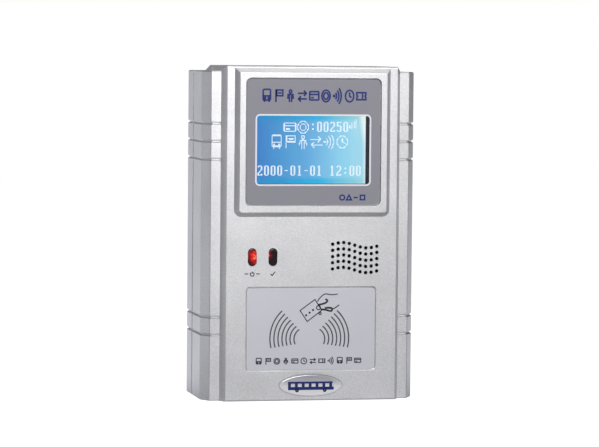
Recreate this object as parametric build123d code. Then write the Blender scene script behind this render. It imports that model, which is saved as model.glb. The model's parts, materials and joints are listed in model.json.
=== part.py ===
from build123d import *
import math
import os

# Wall- or pole-mounted contactless fare box. Millimetres, +Z up, front face towards -Y.
# The origin is the centre of the flat base, midway between the display frame and the back.
# A pair (low, high) gives limits along one axis. Sizes of front details are (width, height).

# ---- Case --------------------------------------------------------------------------------

HEIGHT = 203.0               # to the top of the raised centre band
WIDTH = 132.0
DEPTH = 64.0                 # display frame front to flat back
WALL = 2.5                   # moulded wall of both shells
FIT = 0.2                    # clearance round parts that drop into a pocket
RUNNING = 0.05               # radial clearance of pins and plungers that move
BEYOND = 1.0                 # how far a cutter passes the face it cuts

FRAME_FRONT = -DEPTH / 2
FRAME_RAISE = 4.0            # display frame above the band
BAND_FRONT = FRAME_FRONT + FRAME_RAISE
BAND_RAISE = 5.7             # band above the side wings
WING_FRONT = BAND_FRONT + BAND_RAISE
SIDE_START = WING_FRONT + 8.6
SEAM = BAND_FRONT + 41.8     # parting plane of the two shells
SEAM_HALF = 0.25             # half of the gap that the gasket fills
REVEAL_WIDTH, REVEAL_DEPTH = 3.2, 1.0   # shadow groove along the parting line
REVEAL_STOP = 2.0            # from the top of the wing to the end of that groove
BACK = DEPTH / 2
INNER_FRONT = BAND_FRONT + WALL

HALF_WIDTH = WIDTH / 2
WING_HALF = 61.4             # wing front face, where its outer chamfer starts
CHAMFER_TURN = math.atan2(HALF_WIDTH - WING_HALF, SIDE_START - WING_FRONT)
BAND_FOOT_HALF = 55.4
BAND_HALF = 52.5
WING_TOP = 199.8
WING_SOFT, BAND_SOFT = 0.9, 1.1

GROOVES = (40.2, 51.0, 146.5, 157.4, 168.2)
GROOVE_GAP = 0.7             # bottom of each decorative groove
GROOVE_LIP = 0.65            # chamfer on both lips of a groove
GROOVE_DEPTH = 1.2

# ---- Front details -----------------------------------------------------------------------

FRAME_FOOT_HALF = 48.1
FRAME_SLOPE = 33.0           # draft of the display frame's four sides, degrees
FRAME_FOOT = (111.9, 201.7)  # z limits where the frame meets the band
FRAME_CORNER, FRAME_SOFT = 4.4, 0.7
PANEL_SIZE, PANEL_Z, PANEL_CORNER = (83.4, 77.2), 157.2, 3.4
PANEL_FLOOR, PANEL_GAP = FRAME_FRONT + 3.1, 0.5
LENS_THICK, OVERLAY_THICK = 1.2, 0.3
WINDOW_SIZE, WINDOW_Z, WINDOW_CORNER = (69.4, 41.2), 152.4, 1.6
RELIEF_SIZE, RELIEF_Z = (88.0, 80.0), PANEL_Z - 1.0
RELIEF_FRONT = INNER_FRONT - 2.0
SHROUD_SIZE = (72.6, 44.4)
SHROUD_WALL, SHROUD_FOOT = 0.5, 1.5
LIP = 0.25                   # soft edge round the display and card pockets

LAMP_X = (-36.6, -23.9)      # power lamp, OK lamp
LAMP_Z = 87.5
LAMP_SIZE = (5.3, 10.8)
LAMP_FLANGE = 1.0
LED_R, LED_FOOT_R = 2.3, 2.7
LED_Y, LED_FOOT_BACK = (-23.6, -20.0), -19.0

CARD_SIZE, CARD_Z, CARD_CORNER = (80.6, 51.0), 43.8, 2.2
CARD_FLOOR = BAND_FRONT + 1.0
CARD_MOAT, CARD_MOAT_FLOOR = 0.7, BAND_FRONT + 1.8     # narrow groove round the label
LABEL_THICK = 0.3
BADGE_SIZE, BADGE_Z = (39.6, 13.8), 9.6
BADGE_RAISE, BADGE_SUNK = 1.4, 0.5
BADGE_EDGE = 1.3             # rounding of the badge's rim

# ---- Speaker -----------------------------------------------------------------------------

GRILLE_X, GRILLE_Z = 26.8, 87.0
GRILLE_COLUMNS, GRILLE_ROWS = 9, 5
GRILLE_PITCH_X, GRILLE_PITCH_Z = 3.44, 3.77
GRILLE_WAVE = 1.3            # height of the sine wave that the columns follow
GRILLE_CREST = 2             # column at the top of the wave
GRILLE_FALL = 0.17           # drop from one column to the next
GRILLE_HOLE_R = 1.1
GRILLE_POCKET, GRILLE_WALL = (31.0, 22.2), 1.2   # thin wall behind the holes

GAUZE_SIZE, GAUZE_THICK = (33.0, 23.6), 0.4
SPEAKER_R, SPEAKER_OPEN_R = 20.0, 17.2
SPEAKER_FLANGE = (INNER_FRONT + GAUZE_THICK, INNER_FRONT + 1.4)
SPEAKER_SHOULDER_R = 18.4
BASKET_NECK_R, BASKET_BACK = 10.0, -15.0
SURROUND_R = 15.9
CONE_R, CONE_FRONT = 15.4, -23.5
CONE_NECK_R, CONE_NECK = 5.9, -19.3
CONE_PAPER = 0.4
CAP_R, CAP_RISE = 2.5, 1.4
COIL_R, COIL_BORE, COIL_BACK = 5.8, 5.2, -12.5
MAGNET_R, MAGNET_BORE, MAGNET_BACK = 9.0, 6.4, -10.0
YOKE_R, POLE_R, YOKE_BACK = 8.6, 4.6, -8.6
CLAMP_CIRCLE_R = 22.4
CLAMP_ANGLES = (90, 205, 320)
WASHER_R, WASHER = 3.9, 0.8

# ---- Display module and small boards -----------------------------------------------------

BOARD_THICK = 1.6
LCD_Z = 152.6
LCD_BEZEL, LCD_VIEW, LCD_BOARD = (84.0, 54.0), (72.0, 42.0), (93.0, 70.0)
LCD_HOLES = (88.0, 65.0)
LCD_GLASS_FRONT, LCD_GLASS = -18.5, 2.2
LCD_BEZEL_STEEL = 0.8
LCD_BOARD_FRONT = -12.0
LCD_BOARD_BACK = LCD_BOARD_FRONT + BOARD_THICK
LCD_DRIVER, LCD_DRIVER_X, LCD_DRIVER_RISE = (14.0, 14.0), (-28, 0, 28), 1.6

LED_BOARD_HOLES = [(-45.6, LAMP_Z), (-14.9, LAMP_Z)]
LED_BOARD_FRONT = LED_FOOT_BACK
LED_BOARD_BACK = LED_BOARD_FRONT + BOARD_THICK
LED_BOARD_MARGIN, LED_BOARD_HEIGHT = 3.0, 15.0

ANTENNA_SIZE, ANTENNA_HOLES, ANTENNA_Z = (78.0, 44.0), (70.0, 37.0), 43.0
ANTENNA_FRONT = INNER_FRONT + 2.0
ANTENNA_BACK = ANTENNA_FRONT + 1.2
COIL_HALF, COIL_PITCH, COIL_TURNS = (31.0, 16.0), 1.8, 4
TRACK_WIDTH, TRACK_THICK = 0.9, 0.1

# ---- Main board --------------------------------------------------------------------------

MAIN_FRONT = 12.0
MAIN_BACK = MAIN_FRONT + BOARD_THICK
MAIN_HALF, MAIN_Z = 52.0, (22.0, 180.0)
MAIN_HOLES = [(x, z) for x in (-46.0, 46.0) for z in (28.0, 92.0, 174.0)]
# x, z, width, height and thickness of the parts on the front of the board
CHIPS = ((0, 128, 16, 16, 1.5), (-24, 128, 8, 13, 1.2), (22, 128, 8, 13, 1.2), (0, 62, 9, 9, 1.2))
CRYSTALS = ((-12, 112, 10, 4, 3.4), (12, 62, 10, 4, 3.4))
HEADERS = ((24, 106, 28, 6, 5), (28, 60, 8, 5, 5), (0, 46, 6, 5, 5), (-38, 72, 8, 5, 5))
CAPACITOR_PLACES, CAPACITOR_R, CAPACITOR_RISE = ((-38, 40), (-27, 40), (-38, 52)), 4.0, 9.0
COIL_PLACE, COIL_RADII, COIL_RISE = (-22, 56), (5.5, 2.5), 5.0
BUZZER_PLACE, BUZZER_R, BUZZER_RISE, BUZZER_PORT_R = (-30, 150), 6.0, 6.5, 1.2

CELL_PLACE, CELL_R, CELL_THICK = (4, 70), 10.0, 3.2
HOLDER_R, HOLDER_RISE, HOLDER_FLOOR = 11.6, 3.4, 1.0
SAM_X, SAM_Z, SAM_RISE = (-27.0, 7.0), (38.0, 56.0), 3.2
SAM_SLOT = (0.8, 2.4)        # slot for the tray, above the board
SAM_SLOT_START, SAM_SLOT_EDGE = 2.0, 1.0
SAM_TRAY = (0.9, 2.3)
SAM_TRAY_GAP = 0.1
SAM_CARD_X, SAM_CARD_EDGE, SAM_CARD_FLOOR = (-22.0, 3.0), 1.8, 1.5
SAM_CARD_THICK = 0.76
SAM_VIEW = ((-18.0, -4.0), (42.0, 52.0))
SWITCH_PLACE, SWITCH_SIZE, SWITCH_RISE = (-18, 70), 6.0, 3.6
BUTTON_R, BUTTON_WELL, BUTTON = 1.7, 2.2, (2.7, 7.5)

# ---- Rear shell, connector bay and door --------------------------------------------------

CASE_BOSSES = [(x, z) for x in (-57.5, 57.5) for z in (13.0, 187.0)]
CASE_SEAT = 18.0             # where the case screws' heads sit
INSERT_SPACING, INSERT_Z = 75.0, 140.0
INSERT_R, INSERT_BORE, INSERT_LENGTH = 3.0, 2.0, 8.0   # M4 thread shown as a plain bore

BAY_HALF, BAY_FRONT, BAY_HEIGHT = 35.0, 16.0, 16.0     # open downwards and to the back
BAY_WALL = 2.0
BAY_ROOF = BAY_HEIGHT + BAY_WALL
BAY_Y = 23.0                 # centre line of both connectors
INLET_X, INLET_R, INLET_FLANGE, INLET_WALL = -19.0, 5.5, 1.4, 1.2
INLET_Z = (BAY_HEIGHT - 8.5, BAY_ROOF + 6)
PIN_R, PIN_CIRCLE_R, PIN_COUNT = 0.5, 2.8, 4
NUT_GROW, NUT_THICK = 1.9, 2.2
SOCKET_X, SOCKET_PLATE, SOCKET_BODY, SOCKET_CORE = 13.0, (30.8, 12.4), (17.0, 8.2), (16.2, 7.4)
SOCKET_PLATE_THICK, SOCKET_DROP = 0.8, 6.0
SOCKET_ROWS = ((5, -1.4), (4, 1.4))       # contacts in each row, and the row's y
CONTACT_R, CONTACT_PITCH = 0.55, 2.77
JACK_SPACING, JACK_R, JACK_BORE = 25.0, 1.5, 1.2
JACK_HEX_R, JACK_HEX = 2.7, 4.6

DOOR_HINGE = (-34.0, 30.0)   # x and y of the door's hinge pin
DOOR_BARREL_R, DOOR_PIN_R = 1.9, 0.8
DOOR_PIN_END = 5.0           # pin beyond each end of the door
DOOR_X1, DOOR_Z = 32.0, (34.0, 84.0)
DOOR_OUTER = DOOR_HINGE[1] + DOOR_BARREL_R
DOOR_INNER = DOOR_OUTER - 2.2
DOOR_GAP, BARREL_GAP = 0.3, 0.4
LEDGE = (27.5, 29.5)         # y limits of the ledge that the door closes on
LEDGE_WIDTH = 2.2
HINGE_POCKET = (2.6, 4.0)    # recess in x before and behind the hinge line

LOCK_X, LOCK_Z = 24.0, 59.0
LOCK_BOSS_R, LOCK_BOSS = 5.8, 2.0
BARREL_R, BARREL_HEAD_R, BARREL_HEAD, BARREL_FRONT = 4.0, 5.0, 1.2, 21.2
PLUG_R, PLUG_FRONT, PLUG_SQUARE = 2.8, 20.9, 3.0
KEY_SLOT = (0.8, 3.6)
LOCK_NUT_R, LOCK_NUT = 6.2, 2.0
CAM_SIZE, CAM_REACH, CAM_Y = (16.0, 6.4), 4.8, (19.0, 20.6)
KEEPER_X, KEEPER_FRONT, KEEPER_HEIGHT = (30.5, 36.5), 21.0, 16.0

# ---- Fasteners and their bosses ----------------------------------------------------------

M3_R, M3_HEAD_R, M3_HEAD = 1.5, 2.8, 2.0
M25_R, M25_HEAD_R, M25_HEAD = 1.25, 2.3, 1.7
HOLE_FREE = 0.15             # clearance hole over screw radius
DRIVE_SLOT, DRIVE_DEPTH, DRIVE_LENGTH = 0.5, 0.6, 1.2
BOSS_R, SMALL_BOSS_R, MAIN_BOSS_R, CASE_BOSS_R, INSERT_BOSS_R = 3.0, 2.4, 3.5, 4.5, 5.0


# ---- Building blocks ---------------------------------------------------------------------

def block(x, y, z):
    """A box between the limits (low, high) on each axis."""
    limits = (x, y, z)
    centre = [(low + high) / 2 for low, high in limits]
    return Pos(*centre) * Box(*[high - low for low, high in limits])


def rod(x, z, radius, y):
    """A round bar along Y between the two limits y."""
    return Pos(x, (y[0] + y[1]) / 2, z) * Rot(90, 0, 0) * Cylinder(radius, y[1] - y[0])


def post(x, y, radius, z):
    """A round bar along Z between the two limits z."""
    return Pos(x, y, (z[0] + z[1]) / 2) * Cylinder(radius, z[1] - z[0])


def tube(x, z, radius, bore, y):
    return rod(x, z, radius, y) - rod(x, z, bore, y)


def slab(sketch, y, x=0.0, z=0.0):
    """A sketch drawn as seen from the front, made solid between the two limits y."""
    plane = Plane.XZ.offset(-y[1])
    return extrude(plane * Pos(x, z) * sketch, y[1] - y[0], dir=(0, -1, 0))


def centred(size, centre):
    return (centre - size / 2, centre + size / 2)


def grown(size, amount):
    return (size[0] + amount, size[1] + amount)


def group(pieces):
    """Separate solids kept together in one node."""
    return Compound([solid for piece in pieces for solid in piece.solids()])


def rods(points, radius, y):
    return group(rod(x, z, radius, y) for x, z in points)


def corners(size, z_centre):
    """The four corners (x, z) of a rectangle of holes."""
    return [(i * size[0] / 2, z_centre + k * size[1] / 2) for i in (-1, 1) for k in (-1, 1)]


def front_face(solid):
    return solid.faces().sort_by(Axis.Y)[0]


def screw(x, z, radius, head_radius, head, seat, tip):
    """A cross-head screw along Y: its head sits on y=seat, its point is at y=tip."""
    outward = 1 if seat > tip else -1
    top = seat + outward * head
    body = rod(x, z, head_radius, sorted((seat, top))) + rod(x, z, radius, sorted((seat, tip)))
    recess = sorted((top - outward * head * DRIVE_DEPTH, top))
    length = head_radius * DRIVE_LENGTH
    body -= block(centred(DRIVE_SLOT, x), recess, centred(length, z))
    return body - block(centred(length, x), recess, centred(DRIVE_SLOT, z))


def board(x, y, z, holes, hole_radius):
    """A circuit board with its screw holes."""
    return block(x, y, z) - rods(holes, hole_radius, (y[0] - BEYOND, y[1] + BEYOND))


def save(node, shape):
    export_step(shape, f"parts/{node}.step")


LCD_BOSSES = corners(LCD_HOLES, LCD_Z)
ANTENNA_BOSSES = corners(ANTENNA_HOLES, ANTENNA_Z)
INSERTS = corners((INSERT_SPACING, INSERT_SPACING), INSERT_Z)
SPEAKER_CLAMPS = [(GRILLE_X + CLAMP_CIRCLE_R * math.cos(math.radians(angle)),
                   GRILLE_Z + CLAMP_CIRCLE_R * math.sin(math.radians(angle))) for angle in CLAMP_ANGLES]


# ---- Outer form shared by both shells ----------------------------------------------------

def wing_outline(inset=0.0, back=BACK):
    """Plan of the body: flat wings, chamfered outer corners, straight sides."""
    side = HALF_WIDTH - inset
    side_start = SIDE_START + inset * math.tan(CHAMFER_TURN / 2)
    face_end = WING_HALF - inset * math.tan((math.pi / 2 - CHAMFER_TURN) / 2)
    points = [(-side, back), (-side, side_start), (-face_end, WING_FRONT + inset)]
    points += [(-x, y) for x, y in reversed(points)]
    outline = Polygon(*points, align=None)
    return fillet(outline.vertices().filter_by(lambda v: v.Y < back - BEYOND), WING_SOFT)


def wings():
    """The side wings: slabs with chamfered lips round a slightly smaller core."""
    core = extrude(wing_outline(GROOVE_DEPTH), WING_TOP - 2 * GROOVE_LIP)
    body = Pos(0, 0, GROOVE_LIP) * core
    starts = (0.0, *[groove + GROOVE_GAP / 2 for groove in GROOVES])
    ends = (*[groove - GROOVE_GAP / 2 for groove in GROOVES], WING_TOP)
    for low, high in zip(starts, ends):
        piece = Pos(0, 0, low) * extrude(wing_outline(), high - low)
        rims = piece.faces().filter_by(Axis.Z).edges()
        rims = rims.filter_by(lambda e: e.center().Y < BACK - RUNNING)
        body += chamfer(rims, GROOVE_LIP)
    return body


def band():
    """The raised centre band, with sloping sides and a chamfer over each top corner."""
    left = [(-BAND_FOOT_HALF, BACK), (-BAND_FOOT_HALF, WING_FRONT), (-BAND_HALF, BAND_FRONT)]
    plan = Polygon(*left, *[(-x, y) for x, y in reversed(left)], align=None)
    left = [(-BAND_FOOT_HALF, 0), (-BAND_FOOT_HALF, WING_TOP), (-BAND_HALF, HEIGHT)]
    front = Polygon(*left, *[(-x, z) for x, z in reversed(left)], align=None)
    body = extrude(plan, HEIGHT) & slab(front, (BAND_FRONT, BACK))
    edges = body.edges().filter_by(Axis.X).filter_by(lambda e: e.center().Y < BAND_FRONT + RUNNING)
    return fillet(edges, BAND_SOFT)


def display_frame():
    """The raised frame round the display, with sloping sides, before its panel pocket."""
    low, high = FRAME_FOOT
    outline = Pos(0, (low + high) / 2) * Rectangle(2 * FRAME_FOOT_HALF, high - low)
    outline = fillet(outline.vertices().sort_by(Axis.Y)[:2], FRAME_CORNER)
    foot = Plane.XZ.offset(-BAND_FRONT) * outline
    body = extrude(foot, FRAME_RAISE, taper=FRAME_SLOPE)
    return fillet(front_face(body).edges(), FRAME_SOFT)


def cavity():
    """The space inside both shells, one wall thickness in."""
    wing = Pos(0, 0, WALL) * extrude(wing_outline(WALL, BACK - WALL), WING_TOP - 2 * WALL)
    centre = block((-BAND_HALF + WALL, BAND_HALF - WALL), (INNER_FRONT, BACK - WALL), (WALL, HEIGHT - WALL))
    return wing + centre


def reveal():
    """The shadow groove down both sides, where the two shells meet."""
    y, z = centred(REVEAL_WIDTH, SEAM), (-BEYOND, WING_TOP - REVEAL_STOP)
    near, far = HALF_WIDTH - REVEAL_DEPTH, HALF_WIDTH + BEYOND
    return block((-far, -near), y, z) + block((near, far), y, z)


def part_of(skin, hollow, y):
    """The wall of the case between two depths."""
    half = HALF_WIDTH + BEYOND
    return (skin - hollow) & block((-half, half), y, (-BEYOND, HEIGHT + BEYOND))


# ---- Front shell -------------------------------------------------------------------------

def grille_points():
    """Centres of the speaker holes: rows that fall gently and follow a sine wave."""
    points = []
    for column in range(GRILLE_COLUMNS):
        phase = math.tau * (column - GRILLE_CREST) / (GRILLE_COLUMNS - 1)
        step = column - (GRILLE_COLUMNS - 1) / 2
        x = GRILLE_X + step * GRILLE_PITCH_X
        middle = GRILLE_Z + GRILLE_WAVE * math.cos(phase) - GRILLE_FALL * step
        for row in range(GRILLE_ROWS):
            points.append((x, middle + (row - (GRILLE_ROWS - 1) / 2) * GRILLE_PITCH_Z))
    return points


def stadium(size, grow=0.0):
    return Rot(0, 0, 90) * SlotOverall(size[1] + 2 * grow, size[0] + 2 * grow)


def with_bosses(shell):
    """Adds every boss inside the front shell, then drills them."""
    root = INNER_FRONT - WALL / 5
    floor = INNER_FRONT - WALL / 3
    # points, boss radius, boss root, boss end, hole radius, hole bottom
    bosses = (
        (CASE_BOSSES, CASE_BOSS_R - FIT, WING_FRONT + WALL / 2, SEAM, M3_R, SEAM - 16),
        (LCD_BOSSES, BOSS_R, RELIEF_FRONT - FIT, LCD_BOARD_FRONT, M25_R, LCD_BOARD_FRONT - 8),
        (LED_BOARD_HOLES, SMALL_BOSS_R, root, LED_BOARD_FRONT, M25_R, LED_BOARD_FRONT - 5),
        (ANTENNA_BOSSES, SMALL_BOSS_R, root, ANTENNA_FRONT, M25_R, floor),
        (SPEAKER_CLAMPS, SMALL_BOSS_R - FIT, root, SPEAKER_FLANGE[1], M25_R, floor))
    for points, radius, start, end, _, _ in bosses:
        shell += rods(points, radius, (start, end))
    for points, _, _, end, bore, bottom in bosses:
        shell -= rods(points, bore, (bottom, end + BEYOND))
    return shell


def label_outline():
    return RectangleRounded(*grown(CARD_SIZE, -2 * CARD_MOAT), CARD_CORNER - CARD_MOAT)


def soften_pocket(shell, front, size, z):
    """Rounds the edge where a pocket opens in the plane y=front."""
    rim = shell.edges().filter_by_position(Axis.Y, front - RUNNING, front + RUNNING)
    rim = rim.filter_by(lambda e: abs(e.center().X) < size[0] / 2 + FIT)
    rim = rim.filter_by(lambda e: abs(e.center().Z - z) < size[1] / 2 + FIT)
    return fillet(rim, LIP)


def front_shell(skin, hollow):
    shell = part_of(skin, hollow, (FRAME_FRONT - BEYOND, SEAM - SEAM_HALF))
    shell -= slab(Rectangle(*RELIEF_SIZE), (RELIEF_FRONT, INNER_FRONT + BEYOND), z=RELIEF_Z)
    shell = with_bosses(shell)
    outside, inside = BAND_FRONT - BEYOND, INNER_FRONT + BEYOND
    shell -= slab(RectangleRounded(*PANEL_SIZE, PANEL_CORNER), (FRAME_FRONT - BEYOND, PANEL_FLOOR), z=PANEL_Z)
    shell -= slab(Rectangle(*SHROUD_SIZE), (PANEL_FLOOR - BEYOND, inside), z=WINDOW_Z)
    for x in LAMP_X:
        shell -= slab(stadium(LAMP_SIZE, FIT / 2), (outside, inside), x, LAMP_Z)
    holes = Sketch() + [Pos(x, z) * Circle(GRILLE_HOLE_R) for x, z in grille_points()]
    shell -= slab(holes, (outside, inside))
    shell -= slab(Rectangle(*GRILLE_POCKET), (BAND_FRONT + GRILLE_WALL, inside), GRILLE_X, GRILLE_Z)
    pocket = RectangleRounded(*CARD_SIZE, CARD_CORNER)
    shell -= slab(pocket, (outside, CARD_FLOOR), z=CARD_Z)
    shell -= slab(pocket - label_outline(), (outside, CARD_MOAT_FLOOR), z=CARD_Z)
    shell = soften_pocket(shell, FRAME_FRONT, PANEL_SIZE, PANEL_Z)
    shell = soften_pocket(shell, BAND_FRONT, CARD_SIZE, CARD_Z)
    seat = Ellipse((BADGE_SIZE[0] + FIT) / 2, (BADGE_SIZE[1] + FIT) / 2)
    return shell - slab(seat, (outside, BAND_FRONT + BADGE_SUNK), z=BADGE_Z)


def save_display_window():
    plate = RectangleRounded(*grown(PANEL_SIZE, -2 * PANEL_GAP), PANEL_CORNER - PANEL_GAP)
    window = Pos(0, WINDOW_Z - PANEL_Z) * RectangleRounded(*WINDOW_SIZE, WINDOW_CORNER)
    lens_front = PANEL_FLOOR - LENS_THICK
    save("display_lens", slab(plate, (lens_front, PANEL_FLOOR), z=PANEL_Z))
    save("overlay_panel", slab(plate - window, (lens_front - OVERLAY_THICK, lens_front), z=PANEL_Z))
    back = LCD_GLASS_FRONT - 1.0
    shroud = slab(Rectangle(*grown(SHROUD_SIZE, -FIT)), (PANEL_FLOOR, back), z=WINDOW_Z)
    shroud += slab(Rectangle(*grown(SHROUD_SIZE, 2 * SHROUD_FOOT)), (RELIEF_FRONT, back), z=WINDOW_Z)
    opening = Rectangle(*grown(SHROUD_SIZE, -2 * SHROUD_WALL))
    save("display_shroud", shroud - slab(opening, (PANEL_FLOOR - BEYOND, back + BEYOND), z=WINDOW_Z))


def save_card_label():
    save("card_area_label", slab(label_outline(), (CARD_FLOOR - LABEL_THICK, CARD_FLOOR), z=CARD_Z))


def save_badge():
    outline = Ellipse(BADGE_SIZE[0] / 2, BADGE_SIZE[1] / 2)
    dome = slab(outline, (BAND_FRONT - BADGE_RAISE, BAND_FRONT + BADGE_SUNK), z=BADGE_Z)
    save("badge", fillet(front_face(dome).edges(), BADGE_EDGE))


def save_lamps():
    for x, name in zip(LAMP_X, ("power", "ok")):
        lens = slab(stadium(LAMP_SIZE), (BAND_FRONT - 0.1, INNER_FRONT), x, LAMP_Z)
        lens = fillet(front_face(lens).edges(), 0.9)
        flange = slab(stadium(LAMP_SIZE, LAMP_FLANGE), (INNER_FRONT, INNER_FRONT + LAMP_FLANGE), x, LAMP_Z)
        save(f"{name}_lens", lens + flange)
        lamp = rod(x, LAMP_Z, LED_R, LED_Y)
        lamp = fillet(front_face(lamp).edges(), 1.6)
        save(f"{name}_led", lamp + rod(x, LAMP_Z, LED_FOOT_R, (LED_Y[1], LED_FOOT_BACK)))


# ---- Display module ----------------------------------------------------------------------

def save_display():
    front = LCD_GLASS_FRONT - LCD_BEZEL_STEEL
    glass_back = LCD_GLASS_FRONT + LCD_GLASS
    bezel = slab(Rectangle(*LCD_BEZEL), (front, LCD_BOARD_FRONT), z=LCD_Z)
    room = Rectangle(*grown(LCD_BEZEL, -2 * LCD_BEZEL_STEEL))
    bezel -= slab(room, (LCD_GLASS_FRONT, LCD_BOARD_FRONT + BEYOND), z=LCD_Z)
    view = slab(Rectangle(*LCD_VIEW), (front - BEYOND, LCD_GLASS_FRONT + BEYOND), z=LCD_Z)
    save("lcd_bezel", bezel - view)
    cell = Rectangle(*grown(LCD_BEZEL, -3 * LCD_BEZEL_STEEL))
    save("lcd_glass", slab(cell, (LCD_GLASS_FRONT, glass_back), z=LCD_Z))
    save("lcd_backlight", slab(cell, (glass_back, LCD_BOARD_FRONT), z=LCD_Z))
    width, height = LCD_BOARD
    save("lcd_board", board(centred(width, 0), (LCD_BOARD_FRONT, LCD_BOARD_BACK), centred(height, LCD_Z),
                            LCD_BOSSES, M25_R + HOLE_FREE))


# ---- Lamp board, speaker and antenna -----------------------------------------------------

def save_lamp_board():
    first, last = LED_BOARD_HOLES[0][0] - LED_BOARD_MARGIN, LED_BOARD_HOLES[1][0] + LED_BOARD_MARGIN
    save("led_board", board((first, last), (LED_BOARD_FRONT, LED_BOARD_BACK),
                            centred(LED_BOARD_HEIGHT, LAMP_Z), LED_BOARD_HOLES, M25_R + HOLE_FREE))


def turned(points):
    """A ring turned about the speaker's axis from (radius, y) points."""
    profile = Polygon(*points, align=None)
    return Pos(GRILLE_X, 0, GRILLE_Z) * revolve(profile, Axis.Y)


def speaker_basket():
    front, back = SPEAKER_FLANGE
    floor = BASKET_BACK - 1.0
    basket = turned([(SPEAKER_OPEN_R, front), (SPEAKER_R, front), (SPEAKER_R, back),
                     (SPEAKER_SHOULDER_R, back), (BASKET_NECK_R, floor - FIT), (BASKET_NECK_R, BASKET_BACK),
                     (MAGNET_BORE, BASKET_BACK), (MAGNET_BORE, floor), (MAGNET_R, floor),
                     (SPEAKER_OPEN_R, back + GAUZE_THICK)])
    window = block(centred(11, 0), (back + 1.2, floor - 1.0), (8.5, 19.0))
    for angle in (45, 135, 225, 315):
        basket -= Pos(GRILLE_X, 0, GRILLE_Z) * Rot(0, angle, 0) * window
    return basket


def speaker_surround():
    front, back = SPEAKER_FLANGE
    rubber = 0.3
    return turned([(SURROUND_R, front), (SPEAKER_OPEN_R, front), (SPEAKER_OPEN_R, back),
                   (SPEAKER_OPEN_R - rubber, back), (SPEAKER_OPEN_R - 2 * rubber, front + rubber),
                   (SURROUND_R, front + rubber)])


def speaker_cone():
    cone = turned([(CONE_R, CONE_FRONT), (CONE_R, CONE_FRONT + CONE_PAPER),
                   (CONE_NECK_R, CONE_NECK + CONE_PAPER), (CONE_NECK_R, CONE_NECK)])
    front = CONE_NECK - CAP_RISE
    return cone + turned([(0, front - 0.2), (CAP_R, front + 0.1), (CONE_NECK_R, CONE_NECK),
                          (CONE_NECK_R, CONE_NECK + CONE_PAPER), (CAP_R, front + 0.5), (0, front + 0.2)])


def save_speaker():
    x, z = GRILLE_X, GRILLE_Z
    save("speaker_gauze", slab(Rectangle(*GAUZE_SIZE), (INNER_FRONT, INNER_FRONT + GAUZE_THICK), x, z))
    save("speaker_basket", speaker_basket())
    save("speaker_surround", speaker_surround())
    save("speaker_magnet", tube(x, z, MAGNET_R, MAGNET_BORE, (BASKET_BACK, MAGNET_BACK)))
    plate = rod(x, z, YOKE_R, (MAGNET_BACK, YOKE_BACK))
    save("speaker_yoke", plate + rod(x, z, POLE_R, (BASKET_BACK, MAGNET_BACK + BEYOND)))
    save("speaker_cone", speaker_cone())
    save("voice_coil", tube(x, z, COIL_R, COIL_BORE, (CONE_NECK + CONE_PAPER, COIL_BACK)))
    seat = SPEAKER_FLANGE[1] + WASHER
    fixings = [screw(px, pz, M25_R, 2.1, 1.4, seat, INNER_FRONT - 0.7)
               + tube(px, pz, WASHER_R, M25_R - 0.1, (SPEAKER_FLANGE[1], seat)) for px, pz in SPEAKER_CLAMPS]
    save("speaker_screws", group(fixings))


def save_antenna():
    width, height = ANTENNA_SIZE
    save("antenna_board", board(centred(width, 0), (ANTENNA_FRONT, ANTENNA_BACK), centred(height, ANTENNA_Z),
                                ANTENNA_BOSSES, M25_R + HOLE_FREE))
    points = [(-COIL_HALF[0], -COIL_HALF[1])]
    for turn in range(COIL_TURNS):
        x, z = (half - turn * COIL_PITCH for half in COIL_HALF)
        points += [(x, -z), (x, z), (-x, z), (-x, -z + COIL_PITCH)]
    track = trace(Polyline(*points), line_width=TRACK_WIDTH)
    save("antenna_coil", slab(track, (ANTENNA_BACK, ANTENNA_BACK + TRACK_THICK), z=ANTENNA_Z))


def save_small_screws():
    """One kind of screw, in three lengths, holds the display, lamp and antenna boards."""
    places = ((LCD_BOSSES, LCD_BOARD_BACK, 8.0), (LED_BOARD_HOLES, LED_BOARD_BACK, 6.0),
              (ANTENNA_BOSSES, ANTENNA_BACK, 3.7))
    save("small_board_screws", group(screw(x, z, M25_R, M25_HEAD_R, M25_HEAD, seat, seat - length)
                                     for points, seat, length in places for x, z in points))


# ---- Main board --------------------------------------------------------------------------

def on_board(x, z, width, height, rise):
    """A rectangular part on the front of the main board."""
    return block(centred(width, x), (MAIN_FRONT - rise, MAIN_FRONT), centred(height, z))


def save_main_board():
    save("main_board", board((-MAIN_HALF, MAIN_HALF), (MAIN_FRONT, MAIN_BACK), MAIN_Z,
                             MAIN_HOLES, M3_R + HOLE_FREE))
    save("main_board_screws", group(screw(x, z, M3_R, M3_HEAD_R, M3_HEAD, MAIN_FRONT, MAIN_FRONT + 10)
                                    for x, z in MAIN_HOLES))
    width, height = LCD_DRIVER
    driver_y = (LCD_BOARD_BACK, LCD_BOARD_BACK + LCD_DRIVER_RISE)
    drivers = [block(centred(width, x), driver_y, centred(height, LCD_Z + 4)) for x in LCD_DRIVER_X]
    save("board_chips", group([*[on_board(*chip) for chip in CHIPS], *drivers]))
    save("crystals", group(on_board(*crystal) for crystal in CRYSTALS))
    save("board_headers", group(on_board(*header) for header in HEADERS))
    cans = [rod(x, z, CAPACITOR_R, (MAIN_FRONT - CAPACITOR_RISE, MAIN_FRONT)) for x, z in CAPACITOR_PLACES]
    save("capacitors", group(fillet(front_face(can).edges(), 0.5) for can in cans))
    save("power_coil", tube(*COIL_PLACE, *COIL_RADII, (MAIN_FRONT - COIL_RISE, MAIN_FRONT)))
    buzzer = rod(*BUZZER_PLACE, BUZZER_R, (MAIN_FRONT - BUZZER_RISE, MAIN_FRONT))
    port = (MAIN_FRONT - BUZZER_RISE - BEYOND, MAIN_FRONT - BUZZER_RISE + 1.5)
    save("buzzer", buzzer - rod(*BUZZER_PLACE, BUZZER_PORT_R, port))


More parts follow.
